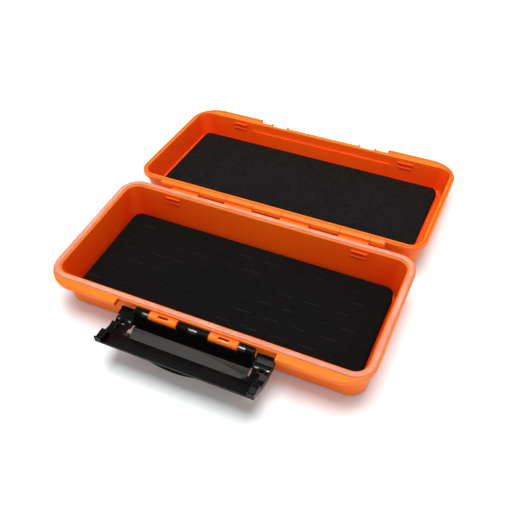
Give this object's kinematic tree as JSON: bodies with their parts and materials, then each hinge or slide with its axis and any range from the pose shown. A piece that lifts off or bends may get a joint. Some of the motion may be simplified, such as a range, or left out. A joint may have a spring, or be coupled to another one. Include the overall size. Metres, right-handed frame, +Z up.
{
  "type": "lure box",
  "caption": "Flat lure box lying open on its hinge, foam pads in base and lid, sealing ring on the base rim and a pivoting front latch.",
  "frame": {"origin": "middle of the base's underside", "axes": "+Z up, +X along the box's length to the right of the latch, -Y towards the latch, +Y towards the open lid"},
  "size_m": [0.2052, 0.2356, 0.0309],
  "materials": {
    "orange_shell": "satin moulded plastic",
    "seal": "translucent soft rubber",
    "foam": "fine closed-cell foam",
    "black_plastic": "satin moulded plastic",
    "pin_steel": "plain drawn wire"
  },
  "bodies": {
    "base": {"base_shell": "orange_shell", "sealing_ring": "seal", "base_foam": "foam", "hinge_pin": "pin_steel", "latch_pin": "pin_steel"},
    "lid": {"lid_shell": "orange_shell", "lid_foam": "foam"},
    "link": {"latch_link": "black_plastic"},
    "lever": {"latch_lever": "black_plastic", "lever_pin_left": "pin_steel", "lever_pin_right": "pin_steel"}
  },
  "joints": [
    {"name": "lid_hinge", "type": "hinge", "parent": "base", "child": "lid", "pos_m": [0, 0.05285, 0.02837], "axis": [1, 0, 0], "range_deg": [0, 184.77]},
    {"name": "link_pivot", "type": "hinge", "parent": "base", "child": "link", "pos_m": [0, -0.05115, 0.02525], "axis": [1, 0, 0], "range_deg": [0, 5]},
    {"name": "lever_pivot", "type": "hinge", "parent": "link", "child": "lever", "pos_m": [0, -0.0547, 0.0174], "axis": [-1, 0, 0], "range_deg": [0, 90]}
  ]
}
